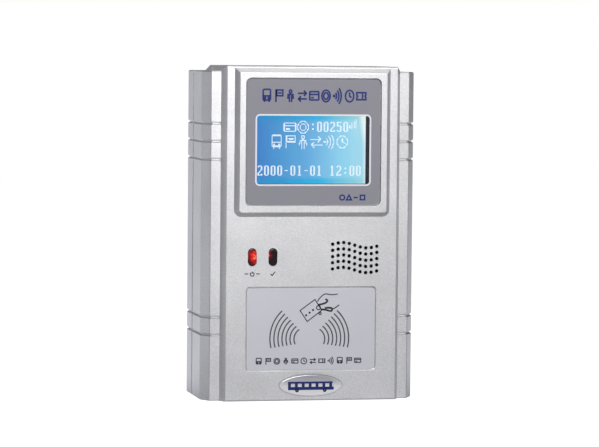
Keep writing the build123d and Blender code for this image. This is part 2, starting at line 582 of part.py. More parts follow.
def above(limits):
    """Limits given from the back of the main board."""
    return (MAIN_BACK + limits[0], MAIN_BACK + limits[1])


def save_coin_cell():
    x, z = CELL_PLACE
    holder = rod(x, z, HOLDER_R, above((0, HOLDER_RISE)))
    holder -= rod(x, z, CELL_R + FIT / 2, above((HOLDER_FLOOR, HOLDER_RISE + BEYOND)))
    notch = block(centred(26, x), above((HOLDER_FLOOR, HOLDER_RISE + BEYOND)), centred(3.5, z - 10.25))
    save("battery_holder", holder - notch)
    cell = rod(x, z, CELL_R, above((HOLDER_FLOOR, HOLDER_FLOOR + CELL_THICK)))
    save("coin_cell", fillet(cell.faces().sort_by(Axis.Y)[-1].edges(), 0.5))


def save_sam_slot():
    """Socket, sliding tray and security card."""
    (x0, x1), (z0, z1) = SAM_X, SAM_Z
    socket = block(SAM_X, above((0, SAM_RISE)), SAM_Z)
    slot_z = (z0 + SAM_SLOT_EDGE, z1 - SAM_SLOT_EDGE)
    socket -= block((x0 + SAM_SLOT_START, x1 + BEYOND), above(SAM_SLOT), slot_z)
    socket -= block(SAM_VIEW[0], above((SAM_SLOT[0] + 1.2, SAM_RISE + BEYOND)), SAM_VIEW[1])
    save("sam_socket", socket)
    edge = SAM_SLOT_EDGE + SAM_TRAY_GAP
    tray = block((x0 + SAM_SLOT_START + SAM_TRAY_GAP, x1 + 2), above(SAM_TRAY), (z0 + edge, z1 - edge))
    tray += block((x1 + 0.3, x1 + 2), above((0.3, 3.0)), (z0 + edge, z1 - edge))
    card_z = (z0 + SAM_CARD_EDGE, z1 - SAM_CARD_EDGE)
    save("sam_tray", tray - block(SAM_CARD_X, above((SAM_CARD_FLOOR, SAM_TRAY[1])), card_z))
    gap = SAM_TRAY_GAP
    save("sam_card", block((SAM_CARD_X[0] + gap, SAM_CARD_X[1] - gap),
                           above((SAM_CARD_FLOOR, SAM_CARD_FLOOR + SAM_CARD_THICK)),
                           (card_z[0] + gap, card_z[1] - gap)))


def save_reset_switch():
    x, z = SWITCH_PLACE
    switch = block(centred(SWITCH_SIZE, x), above((0, SWITCH_RISE)), centred(SWITCH_SIZE, z))
    save("reset_switch", switch - rod(x, z, BUTTON_R + RUNNING, above((BUTTON_WELL, SWITCH_RISE + BEYOND))))
    save("reset_button", rod(x, z, BUTTON_R, above(BUTTON)))


# ---- Connectors in the base --------------------------------------------------------------

def hexagon(x, y, radius, z):
    return Pos(0, 0, z[0]) * extrude(Pos(x, y) * RegularPolygon(radius, 6), z[1] - z[0])


def save_power_inlet():
    x, y = INLET_X, BAY_Y
    low, high = INLET_Z
    body = post(x, y, INLET_R, INLET_Z) + post(x, y, INLET_R + INLET_FLANGE, (BAY_HEIGHT - 1.4, BAY_HEIGHT))
    body -= post(x, y, INLET_R - INLET_WALL, (low - BEYOND, BAY_HEIGHT - 1))
    save("power_inlet", body)
    angles = [math.tau * k / PIN_COUNT for k in range(PIN_COUNT)]
    save("power_inlet_pins", group(
        post(x + PIN_CIRCLE_R * math.cos(a), y + PIN_CIRCLE_R * math.sin(a), PIN_R, (low + 2, BAY_HEIGHT - 1))
        for a in angles))
    nut = hexagon(x, y, INLET_R + NUT_GROW, (BAY_ROOF, BAY_ROOF + NUT_THICK))
    save("power_inlet_nut", nut - post(x, y, INLET_R, (BAY_ROOF - BEYOND, high)))


def save_data_socket():
    x, y = SOCKET_X, BAY_Y
    low, top = BAY_HEIGHT - SOCKET_DROP, BAY_ROOF + 7
    jacks = [x + side * JACK_SPACING / 2 for side in (-1, 1)]
    plate = block(centred(SOCKET_PLATE[0], x), centred(SOCKET_PLATE[1], y),
                  (BAY_HEIGHT - SOCKET_PLATE_THICK, BAY_HEIGHT))
    shell = plate + block(centred(SOCKET_BODY[0], x), centred(SOCKET_BODY[1], y), (low, top))
    for jack in jacks:
        shell -= post(jack, y, JACK_R, (low, top))
    core_x, core_y = centred(SOCKET_CORE[0], x), centred(SOCKET_CORE[1], y)
    save("data_socket", shell - block(core_x, core_y, (low - BEYOND, top + BEYOND)))
    core = block(core_x, core_y, (low + 0.4, top + BEYOND))
    for count, row in SOCKET_ROWS:
        for k in range(count):
            step = (k - (count - 1) / 2) * CONTACT_PITCH
            core -= post(x + step, y + row, CONTACT_R, (low, BAY_HEIGHT - 1))
    save("data_socket_core", core)
    plate_front = BAY_HEIGHT - SOCKET_PLATE_THICK
    hexes = [hexagon(jack, y, JACK_HEX_R, (plate_front - JACK_HEX, plate_front))
             - post(jack, y, JACK_BORE, (low, BAY_HEIGHT - 2)) for jack in jacks]
    tails = [post(jack, y, JACK_R, (plate_front, BAY_ROOF + 2)) for jack in jacks]
    save("data_jackscrews", group(nut + tail for nut, tail in zip(hexes, tails)))


# ---- Rear shell and service door ---------------------------------------------------------

def connector_bay():
    """The open space of the bay, cut from the case."""
    return block((-BAY_HALF, BAY_HALF), (BAY_FRONT, BACK + BEYOND), (-BEYOND, BAY_HEIGHT))


def bay_walls():
    half = BAY_HALF + BAY_WALL
    return block((-half, half), (SEAM + SEAM_HALF, BACK), (0, BAY_ROOF)) - connector_bay()


def with_door_opening(shell):
    """Ledge and keeper for the door, its opening and its hinge pin's holes."""
    hx, hy = DOOR_HINGE
    z0, z1 = DOOR_Z
    outside = BACK + BEYOND
    shell += block((hx - 5, DOOR_X1 + 4.5), (LEDGE[0], BACK - 1), (z0 - 6, z1 + 6))
    shell += block(KEEPER_X, (KEEPER_FRONT, LEDGE[1]), centred(KEEPER_HEIGHT, LOCK_Z))
    door_z = (z0 - DOOR_GAP, z1 + DOOR_GAP)
    left = hx - HINGE_POCKET[0]
    shell -= block((left, DOOR_X1 + DOOR_GAP), (LEDGE[1], outside), door_z)
    shell -= block((left, KEEPER_X[0]), (LEDGE[0] - BEYOND, BACK), (z0 + LEDGE_WIDTH, z1 - LEDGE_WIDTH))
    shell -= post(hx, hy, DOOR_BARREL_R + BARREL_GAP, door_z)
    shell -= block((left, hx + HINGE_POCKET[1]), (LEDGE[0] - BEYOND, BACK), door_z)
    return shell - post(hx, hy, DOOR_PIN_R, (z0 - DOOR_PIN_END, z1 + DOOR_PIN_END))


def with_connector_holes(shell):
    hole_z = (BAY_HEIGHT - BEYOND, BAY_ROOF + BEYOND)
    shell -= post(INLET_X, BAY_Y, INLET_R, hole_z)
    shell -= block(centred(SOCKET_BODY[0], SOCKET_X), centred(SOCKET_BODY[1], BAY_Y), hole_z)
    for side in (-1, 1):
        shell -= post(SOCKET_X + side * JACK_SPACING / 2, BAY_Y, JACK_R, (hole_z[0], BAY_ROOF + 3))
    return shell


def rear_shell(skin, hollow):
    outside = BACK + BEYOND
    root = BACK - WALL / 2
    shell = part_of(skin - connector_bay(), hollow, (SEAM + SEAM_HALF, BACK)) + bay_walls()
    shell += rods(MAIN_HOLES, MAIN_BOSS_R, (MAIN_BACK, root))
    shell += rods(CASE_BOSSES, CASE_BOSS_R, (SEAM, root))
    shell += rods(INSERTS, INSERT_BOSS_R, (BACK - INSERT_LENGTH - 2, root))
    shell -= rods(MAIN_HOLES, M3_R, (MAIN_BACK - BEYOND, MAIN_BACK + 10))
    shell -= rods(CASE_BOSSES, M3_R + FIT, (SEAM - BEYOND, outside))
    shell -= rods(CASE_BOSSES, M3_HEAD_R + 2 * FIT, (CASE_SEAT, outside))
    shell -= rods(INSERTS, INSERT_R, (BACK - INSERT_LENGTH, outside))
    return with_connector_holes(with_door_opening(shell))


def save_rear(skin, hollow):
    save("rear_shell", rear_shell(skin, hollow))
    save("case_screws", group(screw(x, z, M3_R, M3_HEAD_R, M3_HEAD, CASE_SEAT, SEAM - 15)
                              for x, z in CASE_BOSSES))
    save("mounting_inserts", group(tube(x, z, INSERT_R, INSERT_BORE, (BACK - INSERT_LENGTH, BACK - FIT))
                                   for x, z in INSERTS))


def save_gasket():
    """The seal between the shells, just inside the shadow groove."""
    seam = (SEAM - SEAM_HALF, SEAM + SEAM_HALF)
    edge = REVEAL_DEPTH + FIT
    foot = WING_TOP - 3.0
    outline = Rectangle(2 * (HALF_WIDTH - edge), WING_TOP - 2 * edge)
    hole = Rectangle(2 * (HALF_WIDTH - WALL), WING_TOP - 2 * WALL)
    ring = slab(outline - hole, seam, z=WING_TOP / 2)
    top = block((-BAND_HALF + edge, BAND_HALF - edge), seam, (foot, HEIGHT - edge))
    inner_top = block((-BAND_HALF + WALL, BAND_HALF - WALL), seam, (foot, HEIGHT - WALL))
    save("shell_gasket", ring + top - inner_top)


def save_door():
    hx, hy = DOOR_HINGE
    z0, z1 = DOOR_Z
    outside = BACK + BEYOND
    boss_front = DOOR_INNER - LOCK_BOSS
    door = block((hx, DOOR_X1), (DOOR_INNER, DOOR_OUTER), DOOR_Z) + post(hx, hy, DOOR_BARREL_R, DOOR_Z)
    door += rod(LOCK_X, LOCK_Z, LOCK_BOSS_R, (boss_front, DOOR_INNER + FIT))
    door -= post(hx, hy, DOOR_PIN_R + RUNNING, (z0 - BEYOND, z1 + BEYOND))
    door -= rod(LOCK_X, LOCK_Z, BARREL_R, (boss_front - BEYOND, outside))
    door -= rod(LOCK_X, LOCK_Z, BARREL_HEAD_R + FIT, (DOOR_OUTER - BARREL_HEAD, outside))
    save("service_door", door)
    save("door_hinge_pin", post(hx, hy, DOOR_PIN_R, (z0 - DOOR_PIN_END, z1 + DOOR_PIN_END)))


def save_lock():
    x, z = LOCK_X, LOCK_Z
    outside = BACK + BEYOND
    barrel = rod(x, z, BARREL_R, (BARREL_FRONT, DOOR_OUTER - BARREL_HEAD))
    barrel += rod(x, z, BARREL_HEAD_R, (DOOR_OUTER - BARREL_HEAD, DOOR_OUTER))
    save("lock_barrel", barrel - rod(x, z, PLUG_R + RUNNING, (BARREL_FRONT - BEYOND, outside)))
    nut_y = (DOOR_INNER - LOCK_BOSS - LOCK_NUT, DOOR_INNER - LOCK_BOSS)
    nut = slab(RegularPolygon(LOCK_NUT_R, 6), nut_y, x, z)
    save("lock_nut", nut - rod(x, z, BARREL_R, (nut_y[0] - BEYOND, nut_y[1] + BEYOND)))
    square_x, square_z = centred(PLUG_SQUARE, x), centred(PLUG_SQUARE, z)
    plug = rod(x, z, PLUG_R, (PLUG_FRONT, DOOR_OUTER))
    plug += block(square_x, (CAM_Y[0] - BEYOND, PLUG_FRONT + RUNNING), square_z)
    key_slot = block(centred(KEY_SLOT[0], x), (DOOR_OUTER - 3, outside), centred(KEY_SLOT[1], z))
    save("lock_plug", plug - key_slot)
    cam = slab(Pos(0, CAM_REACH) * Rot(0, 0, 90) * SlotOverall(*CAM_SIZE), CAM_Y, x, z)
    save("lock_cam", cam - block(square_x, (CAM_Y[0] - BEYOND, CAM_Y[1] + BEYOND), square_z))


# ---- Internal leads ----------------------------------------------------------------------

def lead(points, thick, x, width, radius):
    """A flat lead bent in the YZ plane, given as (y, z) points."""
    path = FilletPolyline(*points, radius=radius)
    return Pos(x, 0, 0) * extrude(Plane.YZ * trace(path, line_width=thick), width / 2, both=True)


def save_leads():
    """Each lead runs from its module to the mouth of its header on the main board."""
    mouth = MAIN_FRONT - 5.1
    save("display_ribbon", lead([(LCD_BOARD_BACK + 0.1, 119.8), (-3, 119.8), (-3, 106), (mouth, 106)],
                                0.9, 24, 25, 2.4))
    save("board_leads", group([
        lead([(YOKE_BACK + 0.1, 84), (-2, 84), (-2, 60), (mouth, 60)], 1.2, 28, 2.6, 3),
        lead([(ANTENNA_BACK + 0.1, 60), (-8, 60), (-8, 46), (mouth, 46)], 1.6, 0, 1.6, 4),
        lead([(LED_BOARD_BACK + 0.1, 84), (-6, 84), (-6, 72), (mouth, 72)], 1.2, -38, 3.8, 3)]))


# ---- Build -------------------------------------------------------------------------------

os.makedirs("parts", exist_ok=True)
outer_skin = wings() + band() + display_frame() - reveal()
inside_space = cavity()
save("front_shell", front_shell(outer_skin, inside_space))
save_display_window()
save_card_label()
save_badge()
save_lamps()
save_display()
save_lamp_board()
save_speaker()
save_antenna()
save_small_screws()
save_main_board()
save_coin_cell()
save_sam_slot()
save_reset_switch()
save_power_inlet()
save_data_socket()
save_rear(outer_skin, inside_space)
save_gasket()
save_door()
save_lock()
save_leads()
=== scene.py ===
"""Looks, prints, light and camera for the contactless bus fare box."""

import json
import math

import bmesh
import bpy
from mathutils import Matrix, Vector


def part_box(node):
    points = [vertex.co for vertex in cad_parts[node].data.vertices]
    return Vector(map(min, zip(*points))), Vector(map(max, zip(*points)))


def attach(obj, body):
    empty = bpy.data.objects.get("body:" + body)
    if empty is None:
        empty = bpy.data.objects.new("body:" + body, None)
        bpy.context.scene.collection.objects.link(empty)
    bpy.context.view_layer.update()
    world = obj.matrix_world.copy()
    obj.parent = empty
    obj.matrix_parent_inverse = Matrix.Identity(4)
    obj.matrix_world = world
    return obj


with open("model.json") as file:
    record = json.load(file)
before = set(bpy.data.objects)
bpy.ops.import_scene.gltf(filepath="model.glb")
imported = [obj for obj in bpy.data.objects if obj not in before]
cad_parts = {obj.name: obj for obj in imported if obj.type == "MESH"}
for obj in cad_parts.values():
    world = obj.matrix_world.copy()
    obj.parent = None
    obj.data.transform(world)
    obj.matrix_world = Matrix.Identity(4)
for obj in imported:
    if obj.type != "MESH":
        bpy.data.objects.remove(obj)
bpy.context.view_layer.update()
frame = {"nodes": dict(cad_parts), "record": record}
HOME = "housing"
MM = 0.001
WHITE = (1.0, 1.0, 1.0, 1.0)


# ---- Measures read from the frame ------------------------------------------------------

def middle(node):
    low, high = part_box(node)
    return (low + high) / 2


SHELL_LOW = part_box("front_shell")[0]
PANEL_LOW, PANEL_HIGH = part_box("overlay_panel")
LABEL_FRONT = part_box("card_area_label")[0].y
BADGE_LOW, BADGE_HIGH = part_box("badge")
GLASS_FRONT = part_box("lcd_glass")[0].y
OK_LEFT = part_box("ok_lens")[0].x
LABEL_MID, BADGE_MID, GLASS_MID = middle("card_area_label"), middle("badge"), middle("lcd_glass")
POWER_MID, OK_MID = middle("power_lens"), middle("ok_lens")

DISPLAY_FRAME_STEP = 4.0 * MM
BAND_FRONT = SHELL_LOW.y + DISPLAY_FRAME_STEP


# ---- Camera ----------------------------------------------------------------------------

AZIMUTH, ELEVATION, ROLL = (math.radians(angle) for angle in (-12.0, 3.49, 0.52))
AIM = Vector((0.0, LABEL_FRONT, 95 * MM))
DISTANCE = 1.938


def add_camera():
    """Long lens, a little to the left of the front and level with the top of the case."""
    ahead = Vector((-math.sin(AZIMUTH) * math.cos(ELEVATION), math.cos(AZIMUTH) * math.cos(ELEVATION),
                    -math.sin(ELEVATION)))
    right = Vector((math.cos(AZIMUTH), math.sin(AZIMUTH), 0.0))
    up = right.cross(ahead)
    across = right * math.cos(ROLL) + up * math.sin(ROLL)
    upright = up * math.cos(ROLL) - right * math.sin(ROLL)
    camera = bpy.data.cameras.new("photo_camera")
    camera.sensor_width = 36.0
    camera.lens = 192.1
    camera.shift_x = -0.0200
    camera.shift_y = 0.0352
    camera.clip_start = 0.01
    rig = bpy.data.objects.new("photo_camera", camera)
    axes = Matrix((across, upright, -ahead)).transposed().to_4x4()
    rig.matrix_world = Matrix.Translation(AIM - ahead * DISTANCE) @ axes
    bpy.context.scene.collection.objects.link(rig)
    bpy.context.scene.camera = rig


# ---- Node helpers ----------------------------------------------------------------------

def srgb(red, green, blue):
    """An 8-bit display colour as the linear colour that a shader takes."""
    shares = (value / 255 for value in (red, green, blue))
    return (*[s / 12.92 if s < 0.04045 else ((s + 0.055) / 1.055) ** 2.4 for s in shares], 1.0)


class Nodes:
    """Short ways to add and link the nodes of one tree."""

    def __init__(self, tree):
        self.tree = tree

    def put(self, socket, value):
        """Links an output to a socket, or sets the socket's own value."""
        if isinstance(value, bpy.types.NodeSocket):
            self.tree.links.new(value, socket)
        else:
            socket.default_value = value

    def add(self, kind, inputs, **settings):
        node = self.tree.nodes.new("ShaderNode" + kind)
        for setting, value in settings.items():
            setattr(node, setting, value)
        for socket, value in inputs.items():
            self.put(node.inputs[socket], value)
        return node

    def math(self, operation, first, second=0.0):
        return self.add("Math", {0: first, 1: second}, operation=operation).outputs[0]

    def vector(self, operation, first, second):
        return self.add("VectorMath", {0: first, 1: second}, operation=operation).outputs[0]

    def range(self, factor, low, high, start=0.0, end=1.0):
        """Low to high as the factor goes from start to end."""
        return self.add("MapRange", {"Value": factor, "From Min": start, "From Max": end,
                                     "To Min": low, "To Max": high}).outputs[0]

    def ramp(self, factor, stops):
        """A colour ramp; stops are (position, colour)."""
        node = self.add("ValToRGB", {"Fac": factor})
        elements = node.color_ramp.elements
        while len(elements) < len(stops):
            elements.new(1.0)
        for element, (position, colour) in zip(elements, stops):
            element.position = position
            element.color = colour
        return node.outputs["Color"]


class Look(Nodes):
    """One procedural material: a Principled shader and the textures that feed it."""

    def __init__(self, name, **sockets):
        self.material = bpy.data.materials.new(name)
        self.material.use_nodes = True
        super().__init__(self.material.node_tree)
        self.shader = self.tree.nodes["Principled BSDF"]
        self.place = self.add("TexCoord", {}).outputs["Object"]
        self.set(**sockets)

    def set(self, **sockets):
        """Sets or feeds the shader's sockets, named with underscores for spaces."""
        for socket, value in sockets.items():
            self.put(self.shader.inputs[socket.replace("_", " ")], value)

    def stretched(self, scale, centre=(0, 0, 0)):
        """The object's coordinates about a centre, scaled on each axis."""
        return self.vector("MULTIPLY", self.vector("SUBTRACT", self.place, tuple(centre)), scale)

    def noise(self, size, detail=2.0, along=None):
        """Noise with features of the given size in millimetres."""
        inputs = {"Vector": along or self.place, "Scale": 1 / (size * MM), "Detail": detail}
        return self.add("TexNoise", inputs).outputs["Fac"]

    def cells(self, size):
        """A random level for each cell of the given size in millimetres."""
        node = self.add("TexVoronoi", {"Vector": self.place, "Scale": 1 / (size * MM)})
        return self.add("SeparateColor", {"Color": node.outputs["Color"]}).outputs["Red"]

    def bands(self, pitch, direction):
        """Waves across one axis, at a pitch in millimetres."""
        inputs = {"Vector": self.place, "Scale": 0.16 / (pitch * MM)}
        return self.add("TexWave", inputs, bands_direction=direction).outputs["Fac"]

    def axis(self, name, centre=(0, 0, 0), scale=(1, 1, 1)):
        return self.add("SeparateXYZ", {"Vector": self.stretched(scale, centre)}).outputs[name]

    def mix(self, factor, first, second):
        node = self.add("Mix", {}, data_type="RGBA")
        sockets = {socket.identifier: socket for socket in node.inputs}
        self.put(sockets["Factor_Float"], factor)
        self.put(sockets["A_Color"], first)
        self.put(sockets["B_Color"], second)
        return next(s for s in node.outputs if s.identifier == "Result_Color")

    def relief(self, height, depth):
        """Bump from a 0 to 1 height, with its full depth in millimetres."""
        self.set(Normal=self.add("Bump", {"Height": height, "Distance": depth * MM}).outputs["Normal"])


def grained(name, dark, light, size, rough, relief=0.01, **sockets):
    """A plain surface with the grain of its process: colour, gloss and relief all vary."""
    look = Look(name, **sockets)
    grain = look.noise(size, 3.0)
    look.set(Base_Color=look.ramp(grain, [(0.3, srgb(*dark)), (0.7, srgb(*light))]),
             Roughness=look.range(look.noise(size * 6), *rough, 0.3, 0.7))
    look.relief(grain, relief)
    return look.material


def brushed(name, dark, light, rough, lines=(1, 1, 40)):
    """Bare or plated metal with fine drawn lines across one axis."""
    look = Look(name, Metallic=1.0)
    streaks = look.noise(2.5, 2.0, look.stretched(lines))
    look.set(Base_Color=look.ramp(streaks, [(0.25, srgb(*dark)), (0.75, srgb(*light))]),
             Roughness=look.range(streaks, *rough, 0.3, 0.7))
    look.relief(streaks, 0.004)
    return look.material


# ---- Case materials --------------------------------------------------------------------

def silver_paint():
    """Satin silver paint: fine flake, a trace of orange peel, and slow cloudy drift."""
    look = Look("silver_paint", Metallic=0.88, Coat_Weight=0.12, Coat_Roughness=0.2)
    flake = look.cells(0.28)
    cloud = look.noise(28)
    shade = look.math("ADD", look.math("MULTIPLY", flake, 0.55), look.math("MULTIPLY", cloud, 0.45))
    look.set(Base_Color=look.ramp(shade, [(0.15, srgb(210, 210, 211)), (0.85, srgb(244, 244, 245))]),
             Roughness=look.range(flake, 0.38, 0.50))
    look.relief(look.math("ADD", look.noise(1.1), look.math("MULTIPLY", flake, 0.12)), 0.012)
    return look.material


def grey_overlay():
    """Printed polycarbonate film with a fine matt grain, a little violet in places."""
    look = Look("grey_overlay", Specular_IOR_Level=0.35)
    grain = look.noise(0.22)
    tint = look.mix(look.noise(24, 1.0), srgb(146, 147, 150), srgb(148, 145, 158))
    look.set(Base_Color=look.mix(look.range(grain, 0.0, 0.22, 0.3, 0.7), tint, srgb(174, 175, 180)),
             Roughness=look.range(grain, 0.42, 0.58, 0.3, 0.7))
    look.relief(grain, 0.006)
    return look.material


def card_label():
    """Silver film with a fine speckle."""
    look = Look("card_label", Metallic=0.5, Specular_IOR_Level=0.5)
    grain = look.noise(0.35, 3.0)
    base = look.mix(look.noise(22, 1.0), srgb(220, 220, 226), srgb(225, 224, 230))
    look.set(Base_Color=look.mix(look.range(grain, 0.0, 0.5, 0.35, 0.65), base, srgb(204, 205, 213)),
             Roughness=look.range(grain, 0.40, 0.56, 0.3, 0.7))
    look.relief(grain, 0.01)
    return look.material


def badge_chrome():
    """Bright domed badge whose face runs from grey at the top to white at the foot: painted shade on the top
    and a painted highlight on the foot.
    """
    look = Look("badge_chrome", Metallic=0.3, Coat_Weight=0.6, Coat_Roughness=0.06)
    # Painted shade and highlight: the colour follows height on the dome, grey at the top and white at the
    # foot.
    height = look.range(look.axis("Z"), 0.0, 1.0, BADGE_LOW.z, BADGE_HIGH.z)
    wander = look.math("ADD", height, look.range(look.noise(7, 1.0), -0.06, 0.06))
    look.set(Base_Color=look.ramp(wander, [(0.10, srgb(255, 255, 255)), (0.45, srgb(250, 248, 252)),
                                           (0.66, srgb(206, 205, 210)), (0.95, srgb(176, 176, 182))]),
             Roughness=look.range(look.noise(1.5), 0.16, 0.26, 0.3, 0.7))
    return look.material


# ---- Display and lamp materials --------------------------------------------------------

def clear_window():
    """Clear acrylic, with the faint marks of wiping in its gloss."""
    look = Look("clear_window", Transmission_Weight=1.0, IOR=1.49)
    wipe = look.noise(6, 2.0, look.stretched((1, 1, 0.3)))
    look.set(Base_Color=look.ramp(wipe, [(0.3, srgb(250, 252, 253)), (0.7, srgb(255, 255, 255))]),
             Roughness=look.range(wipe, 0.01, 0.05, 0.4, 0.8))
    return look.material


def lamp_glow(name, centre, base, glow_stops, reach):
    """Coloured acrylic with light in it, brightest at the centre and gone at its reach in x and z."""
    look = Look(name, Coat_Weight=0.5, Coat_Roughness=0.06, Emission_Strength=1.0)
    scaled = look.stretched((1 / reach[0], 0.0, 1 / reach[1]), centre)
    across = look.add("VectorMath", {0: scaled}, operation="LENGTH").outputs["Value"]
    swirl = look.math("ADD", across, look.range(look.noise(1.6, 3.0), -0.35, 0.35, 0.2, 0.8))
    look.set(Base_Color=look.ramp(look.noise(0.8), [(0.3, srgb(*base[0])), (0.7, srgb(*base[1]))]),
             Emission_Color=look.ramp(swirl, glow_stops),
             Roughness=look.range(look.noise(0.5), 0.12, 0.22))
    return look.material


def red_lens_lit():
    """The power lamp, brightest a little to the right of its middle."""
    centre = (POWER_MID.x + 0.9 * MM, 0.0, POWER_MID.z + 0.2 * MM)
    stops = [(0.0, srgb(255, 160, 110)), (0.16, srgb(235, 52, 40)), (0.45, srgb(190, 16, 14)),
             (0.75, srgb(84, 0, 2)), (1.0, srgb(8, 0, 0))]
    return lamp_glow("red_lens_lit", centre, ((30, 4, 6), (60, 8, 8)), stops, (4.4 * MM, 5.6 * MM))


def red_lens_dark():
    """The unlit lamp, with a painted highlight glowing at its left edge in place of its neighbour's light.
    """
    centre = (OK_LEFT + 1.0 * MM, 0.0, OK_MID.z + 1.6 * MM)
    stops = [(0.0, srgb(240, 104, 92)), (0.26, srgb(150, 22, 28)), (0.6, srgb(44, 2, 6)),
             (1.0, srgb(12, 0, 2))]
    return lamp_glow("red_lens_dark", centre, ((14, 4, 6), (26, 10, 12)), stops, (3.2 * MM, 4.6 * MM))


def red_led():
    stops = [(0.0, srgb(255, 190, 150)), (0.6, srgb(255, 40, 30)), (1.0, srgb(160, 8, 8))]
    return lamp_glow("red_led", POWER_MID, ((180, 20, 16), (220, 40, 30)), stops, (3 * MM, 3 * MM))


DISPLAY_WIDTH = 72 * MM
LIT_HALF_WIDTH = 34.85 * MM
EDGE_BAND = (16.6 * MM, 18.6 * MM)  # heights from the middle between which the edge colour comes in


def display_cell():
    """Blue backlit cell: deeper blue at the left, near white at the right, cyan at top and foot."""
    look = Look("display_cell", Base_Color=(0.01, 0.03, 0.06, 1.0), Roughness=0.2, Emission_Strength=1.0)
    spread = look.axis("X", GLASS_MID, (1 / DISPLAY_WIDTH,) * 3)
    waver = look.range(look.noise(30, 1.0), -0.03, 0.03, 0.25, 0.75)
    across = look.math("ADD", look.math("ADD", spread, 0.5), waver)
    body = look.ramp(across, [(0.0, srgb(30, 116, 196)), (0.25, srgb(56, 146, 206)),
                              (0.5, srgb(88, 168, 220)), (0.8, srgb(140, 212, 238)),
                              (0.95, srgb(164, 222, 238)), (0.985, srgb(236, 250, 248))])
    edge = look.ramp(across, [(0.0, srgb(0, 134, 200)), (0.3, srgb(0, 154, 210)),
                              (0.6, srgb(0, 180, 228)), (0.88, srgb(136, 210, 222)),
                              (0.95, srgb(158, 216, 228)), (0.985, srgb(236, 250, 244))])
    height = look.math("ABSOLUTE", look.axis("Z", (0, 0, GLASS_MID.z)))
    at_edge = look.range(height, 0.0, 1.0, *EDGE_BAND)
    beside = look.math("ABSOLUTE", look.axis("X"))
    margin = look.range(beside, 0.0, 1.0, LIT_HALF_WIDTH, LIT_HALF_WIDTH + 0.15 * MM)
    mottle = look.range(look.noise(0.6, 1.0), 0.0, 0.07)
    colour = look.mix(mottle, look.mix(at_edge, body, edge), srgb(30, 90, 190))
    look.set(Emission_Color=look.mix(margin, colour, srgb(0, 0, 8)))
    return look.material


# ---- Materials of the inner parts ------------------------------------------------------

def green_board():
    """Solder mask over copper tracks."""
    look = Look("green_board", Specular_IOR_Level=0.6, Coat_Weight=0.3, Coat_Roughness=0.2)
    turned = look.add("Mapping", {"Vector": look.place, "Rotation": (math.pi / 2, 0.0, 0.0)}).outputs[0]
    tracks = look.add("TexBrick", {"Vector": turned, "Scale": 1.0, "Mortar Size": 0.22 * MM,
                                   "Brick Width": 7.5 * MM, "Row Height": 1.7 * MM,
                                   "Mortar Smooth": 0.2}, offset=0.37).outputs["Fac"]
    mask = look.mix(look.noise(0.4), srgb(10, 84, 44), srgb(16, 98, 52))
    look.set(Base_Color=look.mix(tracks, mask, srgb(36, 128, 66)),
             Roughness=look.range(look.noise(3), 0.3, 0.42, 0.3, 0.7))
    look.relief(tracks, 0.03)
    return look.material


def black_gauze():
    """A plain weave of threads, seen from the front."""
    look = Look("black_gauze", Roughness=0.9, Sheen_Weight=0.2)
    weave = look.math("MULTIPLY", look.bands(0.35, "X"), look.bands(0.35, "Z"))
    look.set(Base_Color=look.ramp(weave, [(0.1, srgb(2, 2, 2)), (0.8, srgb(26, 26, 28))]))
    look.relief(weave, 0.05)
    return look.material


def ribbon_grey():
    """Flat cable: parallel wires run along the strip."""
    look = Look("ribbon_grey", Roughness=0.5)
    wires = look.bands(1.27, "X")
    look.set(Base_Color=look.ramp(wires, [(0.2, srgb(118, 120, 124)), (0.7, srgb(172, 174, 178))]))
    look.relief(wires, 0.15)
    return look.material


SPECIAL = {
    "silver_paint": silver_paint,
    "grey_overlay": grey_overlay,
    "card_label": card_label,
    "badge_chrome": badge_chrome,
    "clear_window": clear_window,
    "display_cell": display_cell,
    "red_lens_lit": red_lens_lit,
    "red_lens_dark": red_lens_dark,
    "red_led": red_led,
    "green_board": green_board,
    "black_gauze": black_gauze,
    "ribbon_grey": ribbon_grey,
}

GRAINED = {
    "red_led_off": dict(dark=(110, 16, 14), light=(140, 24, 20), size=0.6, rough=(0.15, 0.25),
                        Coat_Weight=0.5),
    "paper_cone": dict(dark=(26, 25, 24), light=(48, 46, 44), size=0.5, rough=(0.8, 0.95), relief=0.06),
    "black_rubber": dict(dark=(18, 18, 19), light=(34, 34, 36), size=0.4, rough=(0.6, 0.8), relief=0.02),
    "black_foam": dict(dark=(3, 3, 14), light=(10, 10, 26), size=0.5, rough=(0.85, 1.0), relief=0.08,
                       Specular_IOR_Level=0.1),
    "black_steel": dict(dark=(16, 16, 18), light=(30, 30, 33), size=0.3, rough=(0.4, 0.55), relief=0.008,
                        Metallic=0.5),
    "white_diffuser": dict(dark=(226, 230, 236), light=(240, 243, 247), size=1.2, rough=(0.3, 0.4),
                           Subsurface_Weight=0.1),
    "chip_black": dict(dark=(22, 22, 24), light=(40, 40, 43), size=0.18, rough=(0.55, 0.7), relief=0.02),
    "ferrite": dict(dark=(48, 48, 50), light=(74, 74, 77), size=0.3, rough=(0.6, 0.75), relief=0.03),
    "capacitor_sleeve": dict(dark=(20, 28, 70), light=(30, 40, 92), size=1.5, rough=(0.25, 0.35)),
    "header_white": dict(dark=(214, 211, 198), light=(232, 229, 218), size=1.0, rough=(0.4, 0.55)),
    "socket_black": dict(dark=(20, 20, 22), light=(38, 38, 41), size=0.3, rough=(0.45, 0.6), relief=0.015),
    "tray_yellow": dict(dark=(214, 178, 52), light=(232, 198, 74), size=0.7, rough=(0.4, 0.5)),
    "card_white": dict(dark=(232, 232, 228), light=(246, 246, 243), size=2.0, rough=(0.25, 0.35)),
    "button_red": dict(dark=(176, 34, 28), light=(204, 50, 40), size=0.8, rough=(0.3, 0.42)),
    "lead_black": dict(dark=(22, 22, 23), light=(40, 40, 42), size=0.6, rough=(0.45, 0.6)),
}

